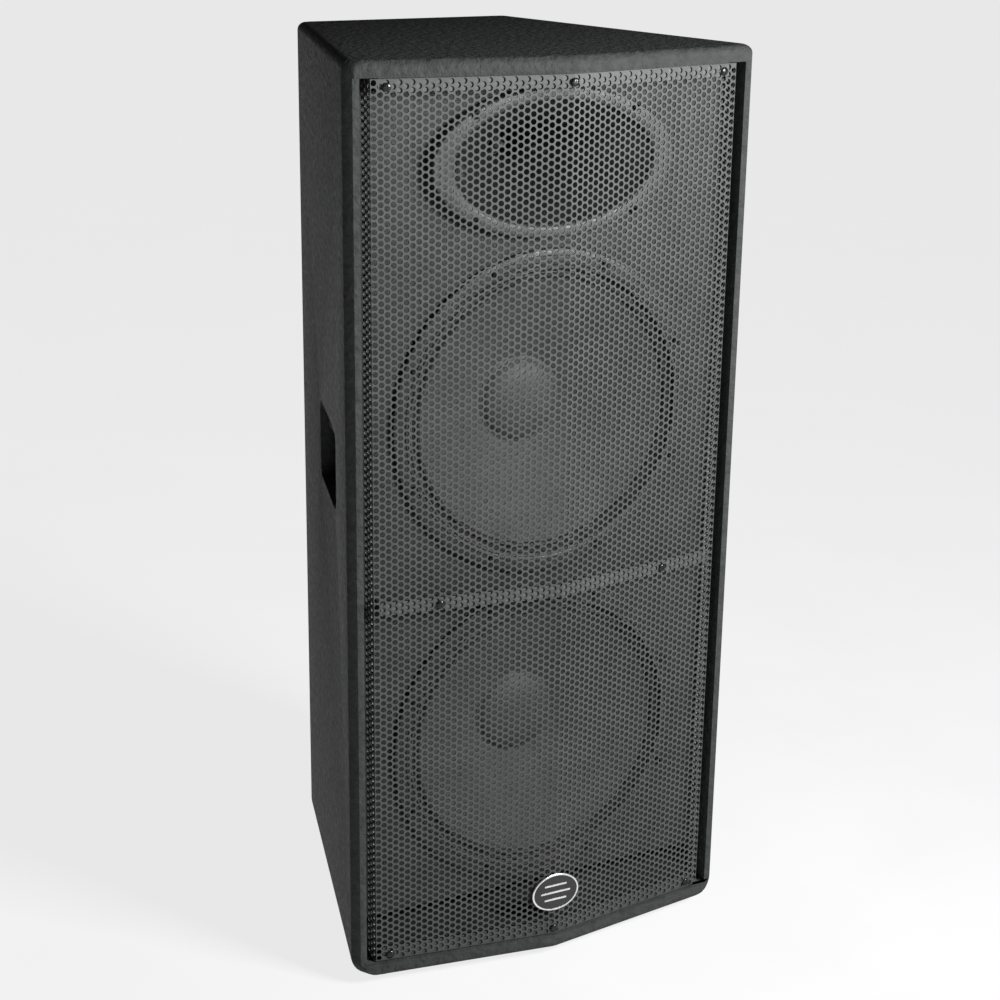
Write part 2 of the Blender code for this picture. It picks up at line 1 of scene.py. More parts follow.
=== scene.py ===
"""Looks of the PA speaker cabinet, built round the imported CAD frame.

Metres, +Z up, the grille faces -Y. Places come from the frame's boxes and a few named sizes.
"""

from math import atan2, cos, hypot, pi, radians, sin, sqrt, tan

import bmesh
import bpy
from mathutils import Matrix, Vector


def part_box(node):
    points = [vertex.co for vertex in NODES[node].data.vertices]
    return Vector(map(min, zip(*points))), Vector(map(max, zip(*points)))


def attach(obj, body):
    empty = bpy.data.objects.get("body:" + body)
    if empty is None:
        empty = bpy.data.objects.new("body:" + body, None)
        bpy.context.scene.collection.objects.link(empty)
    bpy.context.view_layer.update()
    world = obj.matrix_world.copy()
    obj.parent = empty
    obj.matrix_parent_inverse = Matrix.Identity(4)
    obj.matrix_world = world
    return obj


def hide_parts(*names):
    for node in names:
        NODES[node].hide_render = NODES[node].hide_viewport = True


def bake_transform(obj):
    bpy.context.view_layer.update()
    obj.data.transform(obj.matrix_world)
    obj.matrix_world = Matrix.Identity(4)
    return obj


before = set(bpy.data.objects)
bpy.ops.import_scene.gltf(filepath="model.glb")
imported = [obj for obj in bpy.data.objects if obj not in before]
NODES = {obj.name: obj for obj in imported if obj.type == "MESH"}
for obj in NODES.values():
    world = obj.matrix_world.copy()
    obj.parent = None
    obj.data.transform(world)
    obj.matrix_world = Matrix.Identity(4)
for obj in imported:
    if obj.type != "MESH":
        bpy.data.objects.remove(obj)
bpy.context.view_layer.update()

# ---------------------------------------------------------------- sizes shared by several pieces
BOARD = 0.018
TOP_LOW, TOP_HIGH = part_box("top_panel")
BOTTOM_LOW, BOTTOM_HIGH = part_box("bottom_panel")
SIDE_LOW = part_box("right_side_panel")[0]
REAR_LOW, REAR_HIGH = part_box("rear_panel")
GRILLE_LOW, GRILLE_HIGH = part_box("grille")
BAFFLE_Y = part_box("front_baffle")[0].y
Y_SIDE_FRONT, Y_REAR, Y_CREASE = SIDE_LOW.y, TOP_HIGH.y, TOP_LOW.y
HALF_W_FRONT = 0.2545            # where the side wall's plane meets the plane of its front edge
HALF_W_REAR = 0.142
TAPER = (HALF_W_FRONT - HALF_W_REAR) / (Y_REAR - Y_SIDE_FRONT)
WALL_ANGLE = atan2(1.0, TAPER)
CHAMFER = 0.012
V_SLOPE = (Y_SIDE_FRONT - Y_CREASE) / HALF_W_FRONT


def outer_half(y):
    return HALF_W_FRONT - (y - Y_SIDE_FRONT) * TAPER


def inner_half(y):
    return outer_half(y) - BOARD * hypot(1, TAPER)


def middle(node):
    low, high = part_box(node)
    return (low + high) / 2


# ---------------------------------------------------------------- materials
def shade(name, dark, light, grain=40.0, rough=(0.45, 0.60), rough_grain=90.0, bumps=(), metallic=0.0,
          specular=0.5, coat=0.0, sheen=0.0, stretch=(1.0, 1.0, 1.0), contrast=(0.35, 0.65)):
    """A Principled material: two colours mixed by noise, noisy roughness and a stack of bumps.

    bumps is a list of (kind, scale, height in metres), kind being noise or cells.
    """
    mat = bpy.data.materials.new(name)
    mat.use_nodes = True
    tree = mat.node_tree
    shader = tree.nodes["Principled BSDF"]
    shader.inputs["Metallic"].default_value = metallic
    shader.inputs["Specular IOR Level"].default_value = specular
    shader.inputs["Coat Weight"].default_value = coat
    shader.inputs["Sheen Weight"].default_value = sheen
    place = tree.nodes.new("ShaderNodeTexCoord")
    mapping = tree.nodes.new("ShaderNodeMapping")
    mapping.inputs["Scale"].default_value = stretch
    tree.links.new(place.outputs["Object"], mapping.inputs["Vector"])

    def noise(scale, detail=4.0):
        node = tree.nodes.new("ShaderNodeTexNoise")
        node.inputs["Scale"].default_value = scale
        node.inputs["Detail"].default_value = detail
        tree.links.new(mapping.outputs["Vector"], node.inputs["Vector"])
        return node.outputs["Fac"]

    ramp = tree.nodes.new("ShaderNodeValToRGB")
    ramp.color_ramp.elements[0].position, ramp.color_ramp.elements[1].position = contrast
    ramp.color_ramp.elements[0].color = (*dark, 1.0)
    ramp.color_ramp.elements[1].color = (*light, 1.0)
    tree.links.new(noise(grain), ramp.inputs["Fac"])
    tree.links.new(ramp.outputs["Color"], shader.inputs["Base Color"])

    spread = tree.nodes.new("ShaderNodeMapRange")
    spread.inputs["From Min"].default_value = 0.35
    spread.inputs["From Max"].default_value = 0.65
    spread.inputs["To Min"].default_value, spread.inputs["To Max"].default_value = rough
    tree.links.new(noise(rough_grain), spread.inputs["Value"])
    tree.links.new(spread.outputs["Result"], shader.inputs["Roughness"])

    normal = None
    for kind, scale, height in bumps:
        bump = tree.nodes.new("ShaderNodeBump")
        bump.inputs["Distance"].default_value = height
        if kind == "cells":
            cells = tree.nodes.new("ShaderNodeTexVoronoi")
            cells.feature = "SMOOTH_F1"
            cells.inputs["Scale"].default_value = scale
            tree.links.new(mapping.outputs["Vector"], cells.inputs["Vector"])
            tree.links.new(cells.outputs["Distance"], bump.inputs["Height"])
        else:
            tree.links.new(noise(scale, 2.0), bump.inputs["Height"])
        if normal is not None:
            tree.links.new(normal, bump.inputs["Normal"])
        normal = bump.outputs["Normal"]
    if normal is not None:
        tree.links.new(normal, shader.inputs["Normal"])
    return mat


MATS = {
    "paint": shade("textured_black_paint", (0.028, 0.029, 0.029), (0.037, 0.038, 0.038), 90, (0.46, 0.62),
                   160, [("cells", 150, 0.0016), ("noise", 420, 0.0010), ("noise", 1500, 0.00020)],
                   specular=0.03),
    "board": shade("black_baffle_paint", (0.024, 0.025, 0.025), (0.034, 0.035, 0.035), 30, (0.50, 0.65), 80,
                   [("noise", 500, 0.00025)], specular=0.3),
    "grille": shade("grille_powder_coat", (0.034, 0.035, 0.035), (0.042, 0.043, 0.043), 25, (0.40, 0.50), 120,
                    [("noise", 1800, 0.00006)], specular=0.30),
    # rib: the baffle's black paint made lighter, painted light standing in for the light that the batten and
    # rib catch behind the grille
    "rib": shade("rib_paint_painted_light", (0.046, 0.047, 0.047), (0.060, 0.061, 0.061), 30, (0.50, 0.65), 80,
                 [("noise", 500, 0.00025)], specular=0.3),
    "bare": shade("birch_plywood", (0.33, 0.22, 0.12), (0.52, 0.38, 0.22), 14, (0.60, 0.80), 60,
                  [("noise", 300, 0.00020)], stretch=(1.0, 1.0, 9.0)),
    "screw": shade("black_screw", (0.012, 0.012, 0.013), (0.022, 0.022, 0.023), 300, (0.18, 0.32), 500,
                   metallic=0.6),
    "zinc": shade("zinc_steel", (0.42, 0.42, 0.40), (0.56, 0.56, 0.53), 60, (0.28, 0.42), 200,
                  [("noise", 900, 0.00004)], metallic=1.0),
    "frame": shade("woofer_frame_paint", (0.018, 0.018, 0.019), (0.026, 0.026, 0.027), 60, (0.42, 0.55), 200,
                   [("noise", 900, 0.00015)]),
    "gasket": shade("gasket_cork", (0.050, 0.047, 0.043), (0.085, 0.080, 0.072), 700, (0.80, 0.95), 300,
                    [("noise", 1200, 0.00040)], contrast=(0.42, 0.58)),
    "surround": shade("doped_cloth", (0.009, 0.009, 0.009), (0.014, 0.014, 0.014), 120, (0.50, 0.70), 400,
                      [("noise", 2200, 0.00020)]),
    "cone": shade("pressed_paper", (0.050, 0.050, 0.051), (0.068, 0.068, 0.069), 160, (0.60, 0.78), 300,
                  [("noise", 700, 0.00040), ("noise", 2500, 0.00015)], specular=0.3),
    "cap": shade("dust_cap_paper", (0.038, 0.038, 0.039), (0.050, 0.050, 0.051), 200, (0.50, 0.66), 300,
                 [("noise", 1500, 0.00018)]),
    "copper": shade("copper_wire", (0.55, 0.26, 0.11), (0.74, 0.40, 0.19), 200, (0.25, 0.40), 300,
                    [("noise", 1500, 0.00010)], metallic=0.9, stretch=(1.0, 6.0, 1.0)),
    "spider": shade("resin_cloth", (0.34, 0.21, 0.07), (0.50, 0.34, 0.13), 300, (0.75, 0.90), 300,
                    [("noise", 1800, 0.00030)]),
    "ferrite": shade("ferrite", (0.030, 0.030, 0.032), (0.055, 0.055, 0.057), 90, (0.55, 0.75), 200,
                     [("noise", 600, 0.00020)]),
    "horn": shade("horn_moulding", (0.040, 0.041, 0.041), (0.050, 0.051, 0.051), 35, (0.42, 0.52), 150,
                  [("noise", 1400, 0.00008)]),
    # bell: the horn's own moulding made darker and glossier, the darker colour being painted shade inside the
    # horn's mouth
    "bell": shade("horn_bell_painted_shade", (0.014, 0.014, 0.014), (0.020, 0.020, 0.020), 35, (0.20, 0.28), 150,
                  [("noise", 1400, 0.00006)], specular=0.5),
    "dome": shade("dome_foil", (0.56, 0.56, 0.57), (0.70, 0.70, 0.72), 60, (0.25, 0.35), 200, metallic=1.0),
    "plastic": shade("moulded_black", (0.020, 0.021, 0.020), (0.031, 0.032, 0.031), 60, (0.42, 0.55), 250,
                     [("noise", 1600, 0.00018)]),
    "plate": shade("black_steel_plate", (0.018, 0.018, 0.019), (0.028, 0.028, 0.029), 40, (0.34, 0.46), 180,
                   [("noise", 1200, 0.00012)]),
    "gloss": shade("socket_moulding", (0.010, 0.010, 0.012), (0.017, 0.017, 0.019), 80, (0.22, 0.34), 260,
                   [("noise", 1500, 0.00005)]),
    "contact": shade("nickel_contact", (0.62, 0.60, 0.55), (0.78, 0.76, 0.70), 200, (0.22, 0.34), 400,
                     metallic=1.0),
    "knob": shade("switch_knob", (0.52, 0.52, 0.50), (0.64, 0.64, 0.62), 90, (0.42, 0.55), 250,
                  [("noise", 1800, 0.00010)]),
    "case": shade("switch_case", (0.07, 0.07, 0.07), (0.11, 0.11, 0.11), 90, (0.48, 0.60), 250,
                  [("noise", 1500, 0.00010)]),
    "circuit": shade("circuit_board", (0.025, 0.085, 0.035), (0.05, 0.15, 0.06), 120, (0.35, 0.50), 200,
                     [("noise", 700, 0.00015)]),
    "film": shade("capacitor_wrap", (0.55, 0.44, 0.08), (0.70, 0.58, 0.14), 120, (0.28, 0.40), 200,
                  [("noise", 600, 0.00015)]),
    "rubber": shade("foot_rubber", (0.016, 0.016, 0.016), (0.030, 0.030, 0.029), 250, (0.78, 0.92), 300,
                    [("noise", 900, 0.00030)]),
    "badge": shade("badge_field", (0.005, 0.005, 0.006), (0.009, 0.009, 0.010), 200, (0.26, 0.36), 400,
                   [("noise", 2200, 0.00006)]),
    "badge_metal": shade("badge_rim", (0.60, 0.61, 0.60), (0.76, 0.77, 0.76), 300, (0.22, 0.34), 600,
                         [("noise", 2500, 0.00005)], metallic=0.9),
}


# ---------------------------------------------------------------- mesh helpers
def mesh_piece(name, verts, faces, sharp=35.0, fix_normals=True):
    mesh = bpy.data.meshes.new(name)
    mesh.from_pydata([tuple(v) for v in verts], [], faces)
    if fix_normals:
        bm = bmesh.new()
        bm.from_mesh(mesh)
        bmesh.ops.recalc_face_normals(bm, faces=bm.faces)
        bm.to_mesh(mesh)
        bm.free()
    obj = bpy.data.objects.new(name, mesh)
    bpy.context.scene.collection.objects.link(obj)
    smooth(obj, sharp)
    return obj


def smooth(obj, sharp=35.0):
    obj.data.shade_smooth()
    obj.data.set_sharp_from_angle(angle=radians(sharp))
    return obj


def baked(obj, sharp=35.0):
    """Applies all of an object's modifiers to its mesh."""
    bpy.context.view_layer.update()
    graph = bpy.context.evaluated_depsgraph_get()
    mesh = bpy.data.meshes.new_from_object(obj.evaluated_get(graph))
    obj.modifiers.clear()
    obj.data = mesh
    return smooth(obj, sharp)


def quads(near, far, count):
    """The faces between two rings of points, given by the rings' numbers."""
    faces = []
    for k in range(count):
        after = (k + 1) % count
        faces.append((near * count + k, near * count + after, far * count + after, far * count + k))
    return faces


def rings_piece(name, rings, closed=True, caps=False, sharp=35.0):
    """Joins rings of points, each with as many points, into a skin. closed joins the last to the first."""
    count = len(rings[0])
    verts = [point for ring in rings for point in ring]
    faces = []
    pairs = list(zip(range(len(rings)), list(range(1, len(rings))) + [0]))
    for near, far in (pairs if closed else pairs[:-1]):
        faces += quads(near, far, count)
    if caps:
        faces.append(tuple(range(count))[::-1])
        faces.append(tuple(range((len(rings) - 1) * count, len(rings) * count)))
    return mesh_piece(name, verts, faces, sharp)


def turned(name, profile, centre, towards="front", closed=True, steps=96, sharp=35.0):
    """Turns (radius, height) points about a line along Y, or along Z when towards is up."""
    def spot(r, h, angle):
        across, up = r * cos(angle), r * sin(angle)
        if towards == "up":
            return (centre[0] + across, centre[1] + up, centre[2] + h)
        return (centre[0] + across, centre[1] + (h if towards == "back" else -h), centre[2] + up)

    angles = [2 * pi * k / steps for k in range(steps)]
    rings = [[spot(max(r, 0.00001), h, a) for a in angles] for r, h in profile]
    return rings_piece(name, rings, closed=closed, caps=not closed, sharp=sharp)


def prism(name, outline, z_low, z_high):
    """A flat outline in plan, made a closed upright block."""
    low = [(x, y, z_low) for x, y in outline]
    high = [(x, y, z_high) for x, y in outline]
    return rings_piece(name, [low, high], closed=False, caps=True)


def rounded_box(name, low, high, radius, segments=3, place=None):
    """A box with rounded edges. place is a matrix from its own frame to the shared frame."""
    bm = bmesh.new()
    bmesh.ops.create_cube(bm, size=1.0)
    low, high = Vector(low), Vector(high)
    bmesh.ops.scale(bm, vec=high - low, verts=bm.verts)
    bmesh.ops.translate(bm, vec=(low + high) / 2, verts=bm.verts)
    if radius:
        bmesh.ops.bevel(bm, geom=bm.edges[:], offset=radius, segments=segments, affect="EDGES", profile=0.5)
    if place is not None:
        bm.transform(place)
    mesh = bpy.data.meshes.new(name)
    bm.to_mesh(mesh)
    bm.free()
    obj = bpy.data.objects.new(name, mesh)
    bpy.context.scene.collection.objects.link(obj)
    return smooth(obj)


def boolean(obj, cutter):
    """Cuts the cutter out of an object and removes the cutter."""
    step = obj.modifiers.new("cut", "BOOLEAN")
    step.operation = "DIFFERENCE"
    step.solver = "EXACT"
    step.object = cutter
    baked(obj)
    bpy.data.objects.remove(cutter, do_unlink=True)
    return obj


def join(name, objs):
    """Makes one piece of several."""
    bm = bmesh.new()
    for obj in objs:
        obj.data.transform(obj.matrix_world)
        bm.from_mesh(obj.data)
    mesh = bpy.data.meshes.new(name)
    bm.to_mesh(mesh)
    bm.free()
    for obj in objs:
        bpy.data.objects.remove(obj, do_unlink=True)
    whole = bpy.data.objects.new(name, mesh)
    bpy.context.scene.collection.objects.link(whole)
    return smooth(whole)


def show(obj, mat, body, slot, *nodes):
    """Gives a piece its material and its body, and hides the CAD nodes that it stands for. slot is not used.
    """
    obj.data.materials.clear()
    obj.data.materials.append(MATS[mat])
    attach(obj, body)
    if nodes:
        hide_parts(*nodes)
    return obj


def dress(node, mat):
    """A CAD node that stays gets a better material."""
    obj = NODES[node]
    obj.data.materials.clear()
    obj.data.materials.append(MATS[mat])


# ---------------------------------------------------------------- cabinet shell
def rounded_outline(corners):
    """An outline whose corners, (x, y, radius, steps), are rounded."""
    points = []
    count = len(corners)
    for k, (x, y, radius, steps) in enumerate(corners):
        here = Vector((x, y))
        before = (Vector(corners[k - 1][:2]) - here).normalized()
        after = (Vector(corners[(k + 1) % count][:2]) - here).normalized()
        half = before.angle(after) / 2
        reach = radius / tan(half)
        centre = here + (before + after).normalized() * (radius / sin(half))
        first = here + before * reach - centre
        sweep = pi - 2 * half
        turn = 1 if before.x * after.y - before.y * after.x < 0 else -1
        for step in range(steps + 1):
            spoke = first.copy()
            spoke.rotate(Matrix.Rotation(turn * sweep * step / steps, 2))
            points.append(tuple(centre + spoke))
    return points


def meet(line_a, line_b):
    """Where two lines, each (point, direction), cross."""
    (p, d), (q, e) = line_a, line_b
    t = ((q.x - p.x) * e.y - (q.y - p.y) * e.x) / (d.x * e.y - d.y * e.x)
    return p + d * t


def plan_outline(inset_front, inset_side, inset_rear):
    """The cabinet's plan with each wall moved inwards. Front corners are chamfered."""
    slope = Vector((1.0, V_SLOPE)).normalized()
    wall = Vector((-TAPER, 1.0)).normalized()
    front = (Vector((0.0, Y_CREASE)) + Vector((-slope.y, slope.x)) * inset_front, slope)
    side = (Vector((HALF_W_FRONT, Y_SIDE_FRONT)) - Vector((wall.y, -wall.x)) * inset_side, wall)
    rear = (Vector((0.0, Y_REAR - inset_rear)), Vector((-1.0, 0.0)))
    crease = Vector((0.0, front[0].y - slope.y / slope.x * front[0].x))
    corner = meet(front, side)
    back = meet(side, rear)
    nose = corner - slope * CHAMFER
    cheek = corner + wall * CHAMFER
    right = [(nose.x, nose.y, 0.004, 3), (cheek.x, cheek.y, 0.004, 3), (back.x, back.y, 0.007, 5)]
    left = [(-x, y, r, n) for x, y, r, n in reversed(right)]
    return rounded_outline([(crease.x, crease.y, 0.030, 4)] + right + left)


def edge_inset(height, radius):
    """How far a rounded edge has drawn in at this height above or below its face."""
    if height >= radius:
        return 0.0
    return radius - sqrt(radius * radius - (radius - height) ** 2)


def make_shell():
    """Top, bottom, sides and rear as the one painted shell that they look like."""
    top_r, low_side_r, low_end_r = 0.010, 0.027, 0.009
    low_steps = [0.0, 0.0003, 0.0010, 0.0020, 0.0036, 0.0058, 0.0090, 0.0130, 0.0175, 0.0220, 0.0270]
    top_steps = [0.0100, 0.0072, 0.0048, 0.0029, 0.0014, 0.0005, 0.0]
    rings = []
    for h in low_steps:
        side, end = edge_inset(h, low_side_r), edge_inset(h, low_end_r)
        rings.append([(x, y, BOTTOM_LOW.z + h) for x, y in plan_outline(end, side, end)])
    for h in top_steps:
        inset = edge_inset(h, top_r)
        rings.append([(x, y, TOP_HIGH.z - h) for x, y in plan_outline(inset, inset, inset)])
    shell = rings_piece("cabinet_shell", rings, closed=False, caps=True)

    low, high, past = BOTTOM_HIGH.z, TOP_LOW.z, 0.05
    front_cut = rounded_box("front_cut", (-0.3, Y_CREASE - past, low), (0.3, Y_SIDE_FRONT, high), 0)
    boolean(shell, front_cut)
    y_front, y_back = Y_SIDE_FRONT - past, REAR_LOW.y
    room = prism("room", [(-inner_half(y_front), y_front), (inner_half(y_front), y_front),
                          (inner_half(y_back), y_back), (-inner_half(y_back), y_back)], low, high)
    boolean(shell, room)
    y_out, y_past = REAR_HIGH.y, Y_REAR + past
    rebate = prism("rebate", [(-inner_half(y_out), y_out), (inner_half(y_out), y_out),
                              (inner_half(y_past), y_past), (-inner_half(y_past), y_past)], low, high)
    boolean(shell, rebate)
    for side in (-1, 1):
        boolean(shell, handle_window(side))
    plate_low, plate_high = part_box("connector_plate")
    margin = 0.014
    boolean(shell, rounded_box("plate_cut", (plate_low.x + margin, REAR_LOW.y - past, plate_low.z + margin),
                               (plate_high.x - margin, Y_REAR + past, plate_high.z - margin), 0))
    bevel = shell.modifiers.new("worn_edges", "BEVEL")
    bevel.width = 0.0009
    bevel.segments = 2
    bevel.limit_method = "ANGLE"
    bevel.angle_limit = radians(50)
    bevel.use_clamp_overlap = True
    baked(shell, 30)
    show(shell, "paint", "cabinet", "painted_board", "top_panel", "bottom_panel", "left_side_panel",
         "right_side_panel", "rear_panel")


# ---------------------------------------------------------------- handles
HANDLE_W, HANDLE_H, HANDLE_DEPTH, HANDLE_CORNER = 0.150, 0.096, 0.045, 0.016


def handle_frame(side):
    """From a handle's own frame, X along the wall, Y inwards, Z up, to the shared frame."""
    bar = middle("right_handle_bar" if side > 0 else "left_handle_bar")
    cup_low, cup_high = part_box("right_handle_cup" if side > 0 else "left_handle_cup")
    y = bar.y
    x = side * outer_half(y)
    inward = Vector((-side * 1.0, -TAPER)).normalized()
    reach = (Vector((bar.x - x, 0.0))).dot(inward)
    spot = Vector((bar.x, bar.y)) - inward * reach
    z = (cup_low.z + cup_high.z) / 2
    return Matrix.Translation((spot.x, spot.y, z)) @ Matrix.Rotation(side * (pi - WALL_ANGLE), 4, "Z")


def handle_outline(half_w, half_h, corner=HANDLE_CORNER):
    return rounded_outline([(-half_w, -half_h, corner, 6), (half_w, -half_h, corner, 6),
                            (half_w, half_h, corner, 6), (-half_w, half_h, corner, 6)])


def handle_window(side):
    """The block that cuts the window in a side panel, with rounded corners."""
    outline = handle_outline(HANDLE_W / 2, HANDLE_H / 2)
    near = [(x, -0.03, z) for x, z in outline]
    far = [(x, BOARD + 0.004, z) for x, z in outline]
    block = rings_piece("handle_window", [near, far], closed=False, caps=True)
    block.data.transform(handle_frame(side))
    return block


def make_handle(side):
    name = "right" if side > 0 else "left"
    place = handle_frame(side)
    half_w, half_h, wall = HANDLE_W / 2, HANDLE_H / 2, 0.003
    mouth, deep = BOARD + 0.0006, BOARD + HANDLE_DEPTH

    def loop(shrink, y, corner=HANDLE_CORNER):
        outline = handle_outline(half_w - shrink, half_h - shrink, corner)
        return [tuple(place @ Vector((x, y, z))) for x, z in outline]

    rings = [loop(-0.015, mouth + wall), loop(-0.015, mouth), loop(0.0004, mouth), loop(0.0008, deep - 0.012),
             loop(0.0030, deep - 0.004, 0.014), loop(0.0090, deep - 0.0005, 0.010), loop(0.0120, deep, 0.008),
             loop(0.0120, deep + wall, 0.008), loop(0.0060, deep + wall - 0.001, 0.010),
             loop(-wall, deep - 0.010), loop(-wall, mouth + wall)]
    count = len(rings[0])
    verts = [p for ring in rings for p in ring]
    faces = []
    # rings 0 to 6 are the inside of the cup and rings 7 to 10 its outside
    chain = [(k, k + 1) for k in range(6)] + [(k, k + 1) for k in range(7, 10)] + [(10, 0)]
    for near, far in chain:
        faces += quads(near, far, count)
    faces.append(tuple(6 * count + k for k in range(count)))
    faces.append(tuple(7 * count + k for k in range(count))[::-1])
    cup = mesh_piece(name + "_cup_shell", verts, faces)
    show(cup, "plastic", "cabinet", "cup_plastic", name + "_handle_cup")

    bar_r, squash = 0.0085, 0.92
    bar_y, bar_z = BOARD + 0.002, middle(name + "_handle_bar").z - place.translation.z
    reach, rings = half_w - 0.0009, []
    stations = [-1.0, -0.985, -0.93, -0.88] + [k / 26 - 0.5 for k in range(0, 27)] + [0.88, 0.93, 0.985, 1.0]
    for k, t in enumerate(stations):
        grip = abs(t) <= 0.5 and k % 2 == 1
        radius = bar_r - (0.0008 if grip else 0.0) + (0.0022 if abs(t) > 0.98 else 0.0)
        rings.append([tuple(place @ Vector((t * reach, bar_y + radius * cos(2 * pi * n / 32) * squash,
                                            bar_z + radius * sin(2 * pi * n / 32)))) for n in range(32)])
    bar = rings_piece(name + "_grip_bar", rings, closed=False, caps=True, sharp=50)
    show(bar, "plastic", "cabinet", "bar_plastic", name + "_handle_bar")


# ---------------------------------------------------------------- grille
GRILLE_T = 0.0015
HOLE_R = 0.00325
GRILLE_BEND_X = 0.2235
GRILLE_SLOPE = 0.1423
GRILLE_FREE_EDGE = (0.2255, -0.1735)      # x and y where the bent flange ends
GRILLE_SCREW_R, GRILLE_SCREW_H = 0.0048, 0.0026
FRONT_COLUMNS, FLANGE_COLUMNS, ROWS = 32, 3, 127
RING = 12


def grille_columns():
    """Column edges along the right half of the sheet: x, y and the inward step to the rear face."""
    crease = Vector((0.0, GRILLE_LOW.y))
    bend = Vector((GRILLE_BEND_X, GRILLE_LOW.y + GRILLE_SLOPE * GRILLE_BEND_X))
    free = Vector(GRILLE_FREE_EDGE)
    spots = [crease.lerp(bend, k / FRONT_COLUMNS) for k in range(FRONT_COLUMNS + 1)]
    spots += [bend.lerp(free, k / FLANGE_COLUMNS) for k in range(1, FLANGE_COLUMNS + 1)]

    def inward(a, b):
        d = (b - a).normalized()
        return Vector((-d.y, d.x))

    flat, bent = inward(crease, bend), inward(bend, free)
    steps = []
    for k in range(len(spots)):
        if k == 0:
            step = Vector((0.0, 1.0 / flat.y))
        elif k < FRONT_COLUMNS:
            step = flat
        elif k == FRONT_COLUMNS:
            mean = (flat + bent).normalized()
            step = mean / mean.dot(flat)
        else:
            step = bent
        steps.append(step * GRILLE_T)
    return spots, steps


def make_grille_piece(name, side, upper):
    """One quarter of the folded sheet, with a real hole at every place of the lattice."""
    spots, steps = grille_columns()
    pitch = (GRILLE_HIGH.z - GRILLE_LOW.z) / ROWS
    split = 2 * (ROWS // 2)
    verts, index = [], {}

    def vertex(key, column, along, z):
        """Adds a point of the front sheet, at a share along a column, and its partner on the rear."""
        if key not in index:
            index[key] = len(verts)
            k = min(column, len(spots) - 2)
            spot = spots[k].lerp(spots[k + 1], along)
            back = steps[k].lerp(steps[k + 1], along)
            if 0 < along < 1:
                d = (spots[k + 1] - spots[k]).normalized()
                back = Vector((-d.y, d.x)) * GRILLE_T
            verts.append(((side * spot.x, spot.y, z), (side * (spot.x + back.x), spot.y + back.y, z)))
        return index[key]

    faces = []
    for column in range(FRONT_COLUMNS + FLANGE_COLUMNS):
        odd = (column + (1 if side < 0 else 0)) % 2
        width = (spots[column + 1] - spots[column]).length

        def grid(edge, level):
            key = ("m", column, level) if edge == 0.5 else ("g", column + edge, level)
            return vertex(key, column, float(edge), GRILLE_LOW.z + level * pitch / 2)

        levels = range(2, 2 * ROWS - 1, 2) if odd else range(1, 2 * ROWS, 2)
        for level in levels:
            below = level <= split if odd else level < split
            if below == upper:
                continue
            z = GRILLE_LOW.z + level * pitch / 2
            ring = []
            for k in range(RING):
                angle = 2 * pi * k / RING
                ring.append(vertex(("r", column, level, k), column, 0.5 + HOLE_R * cos(angle) / width,
                                   z + HOLE_R * sin(angle)))
            right, left = grid(1, level), grid(0, level)
            top, low = grid(0.5, level + 1), grid(0.5, level - 1)
            corners = [grid(1, level + 1), grid(0, level + 1), grid(0, level - 1), grid(1, level - 1)]
            sides = [right, top, left, low]
            for q in range(4):
                a, b, c, d = (ring[(3 * q + k) % RING] for k in range(4))
                start, corner, end = sides[q], corners[q], sides[(q + 1) % 4]
                faces += [(a, start, corner, b), (b, corner, c), (c, corner, end, d)]
        if odd:
            if upper:
                last = 2 * ROWS
                faces.append((grid(0, last - 1), grid(0.5, last - 1), grid(1, last - 1), grid(1, last),
                              grid(0, last)))
            else:
                faces.append((grid(0, 0), grid(1, 0), grid(1, 1), grid(0.5, 1), grid(0, 1)))

    if side < 0:
        faces = [face[::-1] for face in faces]
    count = len(verts)
    seen = set()
    for face in faces:
        for k in range(len(face)):
            seen.add((face[k - 1], face[k]))
    borders = [(a, b) for a, b in seen if (b, a) not in seen]
    borders.sort()
    rear = [tuple(k + count for k in reversed(face)) for face in faces]
    walls = [(b, a, a + count, b + count) for a, b in borders]
    points = [front for front, _ in verts] + [back for _, back in verts]
    return mesh_piece(name, points, faces + rear + walls, sharp=50, fix_normals=False)


def make_grille():
    for side, across in ((-1, "left"), (1, "right")):
        for upper, height in ((False, "lower"), (True, "upper")):
            sheet = make_grille_piece("grille_sheet_%s_%s" % (height, across), side, upper)
            show(sheet, "grille", "cabinet", "grille_steel", "grille")


def make_screw_cap(name, centre, radius, height, direction, slot_depth=0.0007):
    """A pan head with a cross recess, its flat side at centre, facing along direction."""
    steps = 32
    profile = [(radius * 0.98, 0.0)] + [(radius * cos(a), height * (0.35 + 0.65 * sin(a)))
                                        for a in (0.0, 0.35, 0.7, 1.0, 1.25)] + [(radius * 0.02, height)]
    rings = [[(r * cos(2 * pi * k / steps), r * sin(2 * pi * k / steps), h) for k in range(steps)]
             for r, h in profile]
    cap = rings_piece(name, rings, closed=False, caps=True, sharp=40)
    for turn in (0.0, pi / 2):
        blade = rounded_box("blade", (-radius * 0.62, -radius * 0.13, height - slot_depth),
                            (radius * 0.62, radius * 0.13, height + 0.001), 0,
                            place=Matrix.Rotation(turn, 4, "Z"))
        boolean(cap, blade)
    aim = Vector(direction).to_track_quat("Z", "Y").to_matrix().to_4x4()
    cap.data.transform(Matrix.Translation(centre) @ aim)
    return cap


def make_grille_screws():
    for number in range(1, 9):
        node = "grille_screw_%d" % number
        low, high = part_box(node)
        x = (low.x + high.x) / 2
        z = (low.z + high.z) / 2
        on_crease = abs(x) < 0.02
        lean = 0.0 if on_crease else GRILLE_SLOPE * (1 if x > 0 else -1)
        out = Vector((lean, -1.0, 0.0)).normalized()
        seat_x = x if on_crease else round(x, 3)
        seat = Vector((seat_x, GRILLE_LOW.y + GRILLE_SLOPE * abs(seat_x), z)) + out * 0.0003
        cap = make_screw_cap("grille_screw_cap_%d" % number, seat, GRILLE_SCREW_R, GRILLE_SCREW_H, out)
        show(cap, "screw", "cabinet", "screw_black", node)


